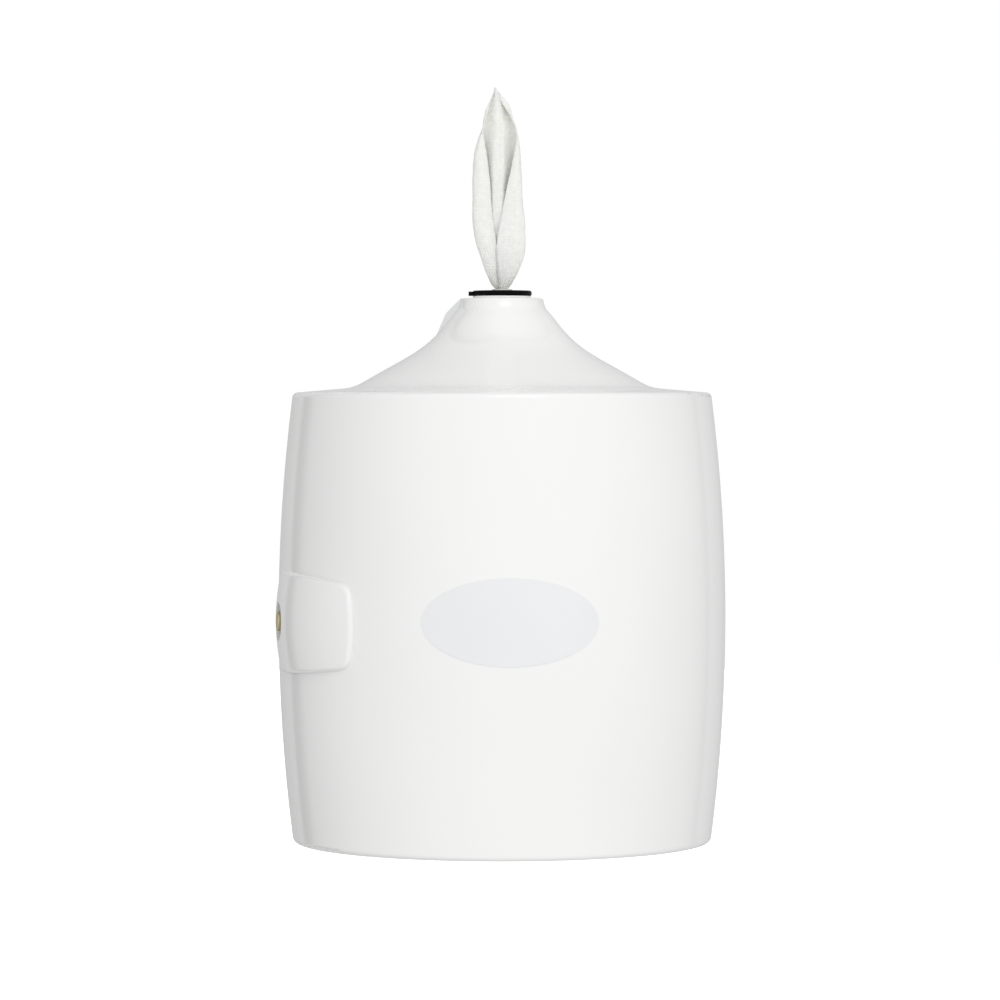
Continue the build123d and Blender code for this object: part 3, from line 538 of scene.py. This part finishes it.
def aim_at(thing, target):
    direction = target - thing.location
    thing.rotation_euler = direction.to_track_quat("-Z", "Y").to_euler()


def make_camera():
    data = bpy.data.cameras.new("photo_camera")
    data.sensor_width = SENSOR_MM
    data.lens = SENSOR_MM * (AIM - EYE).length / (METRES_PER_PIXEL * FRAME_PIXELS)
    data.clip_end = 50.0
    camera = bpy.data.objects.new("photo_camera", data)
    camera.location = EYE
    bpy.context.scene.collection.objects.link(camera)
    aim_at(camera, AIM)
    bpy.context.scene.camera = camera


# Studio

# Light that the white sweep and the room give from each side: degrees from the front, brightness
SWEEP = [
    (-180, 0.58),
    (-142, 0.56),
    (-140, 0.08),
    (-131, 0.08),
    (-127, 0.42),
    (-100, 0.50),
    (-70, 0.76),
    (-45, 1.0),
    (45, 1.0),
    (70, 0.92),
    (110, 0.66),
    (126, 0.54),
    (129, 0.30),
    (134, 0.62),
    (180, 0.60),
]
SWEEP_LEVEL = 1.025
SWEEP_RISE = 0.10
FLOOR_SIZE = 6.0
FLOOR_LEVEL = -0.40


def make_key_light():
    data = bpy.data.lights.new("key_front", "AREA")
    data.shape = "RECTANGLE"
    data.size = 1.2
    data.size_y = 1.3
    data.energy = 6.5
    lamp = bpy.data.objects.new("key_front", data)
    lamp.location = (0.31, AXIS_Y - 2.18, 1.53)
    bpy.context.scene.collection.objects.link(lamp)
    aim_at(lamp, Vector((0, AXIS_Y, 0.02)))


def math_node(tree, operation, *values):
    """A Math node's result; each value is a number or another node's output."""
    node = tree.nodes.new("ShaderNodeMath")
    node.operation = operation
    for socket, value in zip(node.inputs, values):
        if isinstance(value, (int, float)):
            socket.default_value = value
        else:
            tree.links.new(value, socket)
    return node.outputs[0]


def make_world():
    """A white surround whose far sides are duller, seen as plain white behind the object."""
    world = bpy.data.worlds.new("studio")
    world.use_nodes = True
    bpy.context.scene.world = world
    tree = world.node_tree
    background = tree.nodes["Background"]
    direction = tree.nodes.new("ShaderNodeTexCoord").outputs["Generated"]
    split = tree.nodes.new("ShaderNodeSeparateXYZ")
    tree.links.new(direction, split.inputs[0])
    forward = math_node(tree, "MULTIPLY", split.outputs[1], -1.0)
    turn = math_node(tree, "ARCTAN2", split.outputs[0], forward)
    share = math_node(tree, "MULTIPLY_ADD", turn, 0.5 / math.pi, 0.5)
    ramp = tree.nodes.new("ShaderNodeValToRGB")
    tree.links.new(share, ramp.inputs["Fac"])
    stops = ramp.color_ramp.elements
    while len(stops) < len(SWEEP):
        stops.new(0.5)
    for stop, (degrees, brightness) in zip(stops, SWEEP):
        stop.position = degrees / 360 + 0.5
        stop.color = (brightness, brightness, brightness * 1.005, 1.0)
    upward = math_node(tree, "MULTIPLY_ADD", split.outputs[2], SWEEP_RISE, SWEEP_LEVEL)
    lit = math_node(tree, "MULTIPLY", ramp.outputs["Color"], upward)
    strength = tree.nodes.new("ShaderNodeMix")
    strength.data_type = "FLOAT"
    seen_by_camera = tree.nodes.new("ShaderNodeLightPath").outputs["Is Camera Ray"]
    tree.links.new(seen_by_camera, strength.inputs[0])
    tree.links.new(lit, strength.inputs[2])
    strength.inputs[3].default_value = 1.0
    background.inputs["Color"].default_value = (1.0, 1.0, 1.0, 1.0)
    tree.links.new(strength.outputs[0], background.inputs["Strength"])


def make_floor():
    """A pale floor well below the object, which neither lights it nor shows in its gloss."""
    signs = [(-1, -1), (1, -1), (1, 1), (-1, 1)]
    corners = [(FLOOR_SIZE * i, FLOOR_SIZE * j, FLOOR_LEVEL) for i, j in signs]
    mesh = bpy.data.meshes.new("pale_floor")
    mesh.from_pydata(corners, [], [(0, 1, 2, 3)])
    floor = bpy.data.objects.new("pale_floor", mesh)
    bpy.context.scene.collection.objects.link(floor)
    material, shader = new_material("pale_floor", (0.9, 0.9, 0.9), 0.9)
    shader.inputs["Emission Color"].default_value = (1.0, 1.0, 1.0, 1.0)
    shader.inputs["Emission Strength"].default_value = 0.6
    mesh.materials.append(material)
    floor.visible_diffuse = False
    floor.visible_glossy = False


cloth = wipe_cloth("wipe_cloth")
make_wipe(cloth)
make_roll(wipe_cloth("roll_cloth"))
make_strand(cloth)
dress_nodes()
make_camera()
make_world()
bpy.context.scene.view_settings.view_transform = "Standard"
make_key_light()
make_floor()
